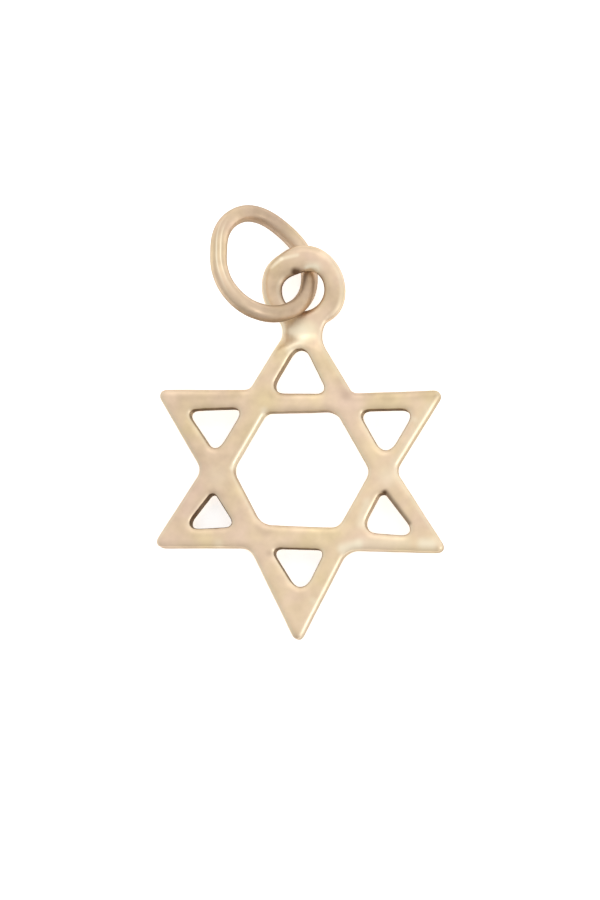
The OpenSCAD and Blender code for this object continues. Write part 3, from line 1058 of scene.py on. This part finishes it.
@dataclass
class JumpRing:
    """The jump ring: one closed turn of round wire, in millimetres."""

    ring_od: float = 5.98
    wire_d: float = 0.8
    wire_steps: int = 48
    ring_steps: int = 260
    wave: float = 0.006
    wave_size: float = 1.5
    # Turns go round the ring from its lowest point
    bends: tuple[Stretch, ...] = (
        Stretch(22, 40, -0.09),
        Stretch(72, 42, 0.11),
        Stretch(108, 38, -0.07),
        Stretch(146, 46, -0.22),
        Stretch(190, 42, 0.12),
        Stretch(224, 48, 0.29),
        Stretch(262, 34, 0.08),
        Stretch(326, 44, -0.07),
    )
    # Strength of the painted shade on the wire's flanks that face down the star, away from the light
    flank_shade: float = 0.45
    # How squarely the wire faces down the star where the painted shade on its flank starts, and is darkest
    flank_slope: tuple[float, float] = (0.35, 0.9)
    # Stretches of the wire with painted shade
    shaded_stretches: tuple[Stretch, ...] = (
        Stretch(58, 60, 0.28),
        Stretch(262, 60, 0.28),
        Stretch(318, 26, 0.35),
    )
    # Stretch of the ring where the painted highlight stripes lie
    highlight_stretch: Stretch = Stretch(156, 55, 1.0)
    # Painted highlight stripes along the wire: degrees east of its top, and how far each fades to a side
    stripes: tuple[float, ...] = (-9.0, 21.0)
    stripe_w: float = 9.0
    stripe_slope: tuple[float, float] = (0.0, 0.4)

    def bend(self, mesh: BMesh) -> None:
        """Takes the ring a little out of round, and makes its wire a little uneven.

        Args:
            mesh: The round ring.
        """
        mesh.normal_update()
        for vert in mesh.verts:
            turn = math.degrees(math.atan2(vert.co.y, vert.co.x))
            way = Vector((vert.co.x, vert.co.y, 0)).normalized()
            vert.co += vert.normal * self.wave * noise.noise(vert.co / self.wave_size)
            vert.co += way * sum(bend.at(turn) for bend in self.bends)

    def mark(self, mesh: BMesh, laid: Matrix) -> None:
        """Marks painted shade on its flanks that face down the star and on some stretches, and the two
        stripes of painted highlight.

        Args:
            mesh: The bent ring.
            laid: Matrix to its place.
        """
        shade_and_stain, painted_highlight, yellow = [mesh.verts.layers.float.new(mark.value) for mark in Mark]
        turned = laid.to_3x3().normalized()
        mesh.normal_update()
        for vert in mesh.verts:
            way = turned @ vert.normal
            turn = math.degrees(math.atan2(vert.co.y, vert.co.x))
            # Painted shade: the shaded stretches, and the flanks that face down the star
            shaded = sum(stretch.at(turn) for stretch in self.shaded_stretches)
            vert[shade_and_stain] = max(shaded, self.flank_shade * ease(*self.flank_slope, -way.y))
            # Painted highlight: two stripes along the wire, on one stretch of the ring
            near = self.highlight_stretch.at(turn)
            east = math.degrees(math.atan2(way.x, way.z))
            stripes = max(1 - ease(0, self.stripe_w, abs(east - stripe)) for stripe in self.stripes)
            vert[painted_highlight] = near * stripes * ease(*self.stripe_slope, way.z)
            vert[yellow] = near

    def build(self, lie: Lie, finish: GoldFinish) -> Object:
        """Builds the ring and lays it through the eye.

        Args:
            lie: Where the pieces lie.
            finish: Its gold.

        Returns:
            The ring.
        """
        mesh = bmesh.new()
        upright = Matrix.Rotation(math.radians(90), 4, "X")
        wire_r = self.wire_d / 2
        bmesh.ops.create_circle(mesh, segments=self.wire_steps, radius=wire_r, matrix=upright)
        bmesh.ops.translate(mesh, verts=mesh.verts, vec=(self.ring_od / 2 - wire_r, 0, 0))
        bmesh.ops.spin(
            mesh, geom=[*mesh.verts, *mesh.edges], cent=(0, 0, 0), axis=(0, 0, 1),
            angle=math.tau, steps=self.ring_steps, use_merge=True,
        )
        bmesh.ops.recalc_face_normals(mesh, faces=mesh.faces)
        self.bend(mesh)
        self.mark(mesh, lie.of_ring())
        return finished("wire_ring", mesh, lie.of_ring(), finish, "jump_ring")


def finished(
    name: str, mesh: BMesh, laid: Matrix, finish: GoldFinish, node: str
) -> Object:
    """Lays a finished shape in its place, dresses it, and puts it in its node's stead.

    Args:
        name: The piece's name.
        mesh: Its shape, in millimetres.
        laid: Matrix to its place, in metres.
        finish: Its gold.
        node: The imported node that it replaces.

    Returns:
        The piece.
    """
    bmesh.ops.transform(mesh, matrix=laid, verts=mesh.verts)
    for face in mesh.faces:
        face.smooth = True
    piece = object_of(name, mesh)
    piece.data.materials.append(finish.material())
    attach(piece, "root")
    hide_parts(node)
    return piece


@dataclass(frozen=True)
class Softbox:
    """A soft lamp over the table.

    Attributes:
        name: Its name.
        slope: Degrees from overhead.
        compass: Degrees clockwise from +Y.
        width: Its width in metres.
        height: Its height in metres.
        radiance: How bright its face is.
        distance: How far it hangs from the charm, in metres.
        colour: Colour of its light.
    """

    name: str
    slope: float
    compass: float
    width: float
    height: float
    radiance: float
    distance: float = 0.3
    colour: tuple[float, float, float] = (1.0, 0.99, 0.97)

    def hang(self) -> Object:
        """Hangs the lamp, facing the charm.

        Returns:
            The lamp.
        """
        slope, compass = math.radians(self.slope), math.radians(self.compass)
        way = Vector((
            math.sin(slope) * math.sin(compass), math.sin(slope) * math.cos(compass), math.cos(slope)
        ))
        lamp = bpy.data.lights.new(self.name, "AREA")
        lamp.shape = "RECTANGLE"
        lamp.size, lamp.size_y = self.width, self.height
        lamp.energy = self.radiance * math.pi * self.width * self.height
        lamp.color = self.colour
        hung = bpy.data.objects.new(self.name, lamp)
        hung.location = way * self.distance
        hung.rotation_euler = way.to_track_quat("Z", "Y").to_euler()
        bpy.context.scene.collection.objects.link(hung)
        return hung


@dataclass
class Studio:
    """The camera, the table, and the soft light of a white room."""

    # The camera: how far off in millimetres, and degrees from the plate's upright and round its sight
    distance: float = 150.0
    south: float = 7.5
    east: float = 8.5
    roll: float = 0.35
    clip: tuple[float, float] = (0.01, 10)
    aim: tuple[float, float, float] = (-0.047, 0.958, 0)
    mm_per_pixel: float = 0.0469
    pixels_high: float = 900.0
    sensor: float = 36.0
    table_half: float = 0.8
    # The room's brightness at the horizon, on its darker and on its brighter side
    sky_horizon: float = 0.68
    sky_dark: float = 0.74
    sky_bright: float = 1.14
    bright_compass: float = 20.0
    # Of a unit direction: its height where the room is brightest, and how far sideways it still changes
    clear_height: float = 0.6
    side_reach: float = 0.8
    softboxes: tuple[Softbox, ...] = (
        Softbox("east_softbox", 55, 118, 0.1, 0.1, 2.0),
        Softbox("north_softbox", 30, -5, 0.12, 0.1, 0.7),
        Softbox("low_north_softbox", 60, 25, 0.1, 0.1, 0.4),
    )

    def camera(self, lie: Lie) -> Object:
        """Sets the camera up over the star, at the photograph's angle.

        Args:
            lie: Where the pieces lie.

        Returns:
            The camera.
        """
        laid = lie.of_star()
        turn = laid.to_3x3().normalized()
        away = turn @ Vector((math.tan(math.radians(self.east)), -math.tan(math.radians(self.south)), 1))
        away.normalize()
        side = (turn @ Vector((0, 1, 0))).cross(away).normalized()
        axes = Matrix((side, away.cross(side), away)).transposed().to_4x4()
        lens = bpy.data.cameras.new("camera")
        lens.sensor_width = self.sensor
        lens.lens = self.sensor * self.distance / (self.pixels_high * self.mm_per_pixel)
        lens.clip_start, lens.clip_end = self.clip
        camera = bpy.data.objects.new("camera", lens)
        place = laid @ Vector(self.aim) + away * self.distance * MM
        camera.matrix_world = (
            Matrix.Translation(place) @ axes @ Matrix.Rotation(math.radians(self.roll), 4, "Z")
        )
        bpy.context.scene.collection.objects.link(camera)
        bpy.context.scene.camera = camera
        return camera

    def table(self, finish: TableFinish) -> Object:
        """Lays the plain pale table top.

        Args:
            finish: Its finish.

        Returns:
            The table top.
        """
        mesh = bmesh.new()
        bmesh.ops.create_grid(mesh, x_segments=1, y_segments=1, size=self.table_half)
        top = object_of("table_top", mesh)
        top.data.materials.append(finish.material())
        return top

    def light(self) -> None:
        """Lights the charm: a white room, brighter on one side and overhead, and the softboxes."""
        world = bpy.data.worlds.new("white_room")
        world.use_nodes = True
        bpy.context.scene.world = world
        recipe = Recipe(world.node_tree)
        way = recipe.add("ShaderNodeTexCoord").outputs["Generated"]
        height = recipe.add("ShaderNodeSeparateXYZ", {0: way}).outputs[2]
        fall = recipe.ranged(height, 0, self.clear_height, self.sky_horizon, 1)
        compass = math.radians(self.bright_compass)
        towards = (math.sin(compass), math.cos(compass), 0)
        dot = recipe.add("ShaderNodeVectorMath", {0: way, 1: towards}, operation="DOT_PRODUCT").outputs[1]
        side = recipe.ranged(dot, -self.side_reach, self.side_reach, self.sky_dark, self.sky_bright)
        room = world.node_tree.nodes["Background"]
        room.inputs["Color"].default_value = (1, 1, 1, 1)
        world.node_tree.links.new(recipe.total("MULTIPLY", fall, side), room.inputs["Strength"])
        for softbox in self.softboxes:
            softbox.hang()
        bpy.context.scene.view_settings.view_transform = "Standard"


def report(piece: Object) -> None:
    """Logs one finished piece's name, size and number of triangles.

    Args:
        piece: The piece.
    """
    sizes = " x ".join(f"{side / MM:.2f}" for side in piece.dimensions)
    triangles = sum(len(face.vertices) - 2 for face in piece.data.polygons)
    LOG.info("%s: %s mm, %d triangles", piece.name, sizes, triangles)


def main() -> None:
    """Builds the charm, its table and its light."""
    logging.basicConfig(level=logging.INFO, format="%(message)s")
    lie = Lie()
    studio = Studio()
    studio.camera(lie)
    studio.light()
    star = Star().build(lie, GoldFinish("satin_gold"))
    wire_gold = GoldFinish("wire_gold", yellow=(0.745, 0.585, 0.385, 1), rose=(0.745, 0.565, 0.425, 1))
    ring = JumpRing().build(lie, wire_gold)
    table = studio.table(TableFinish())
    bpy.context.view_layer.update()
    for piece in (star, ring, table):
        report(piece)


if __name__ == "__main__":
    main()
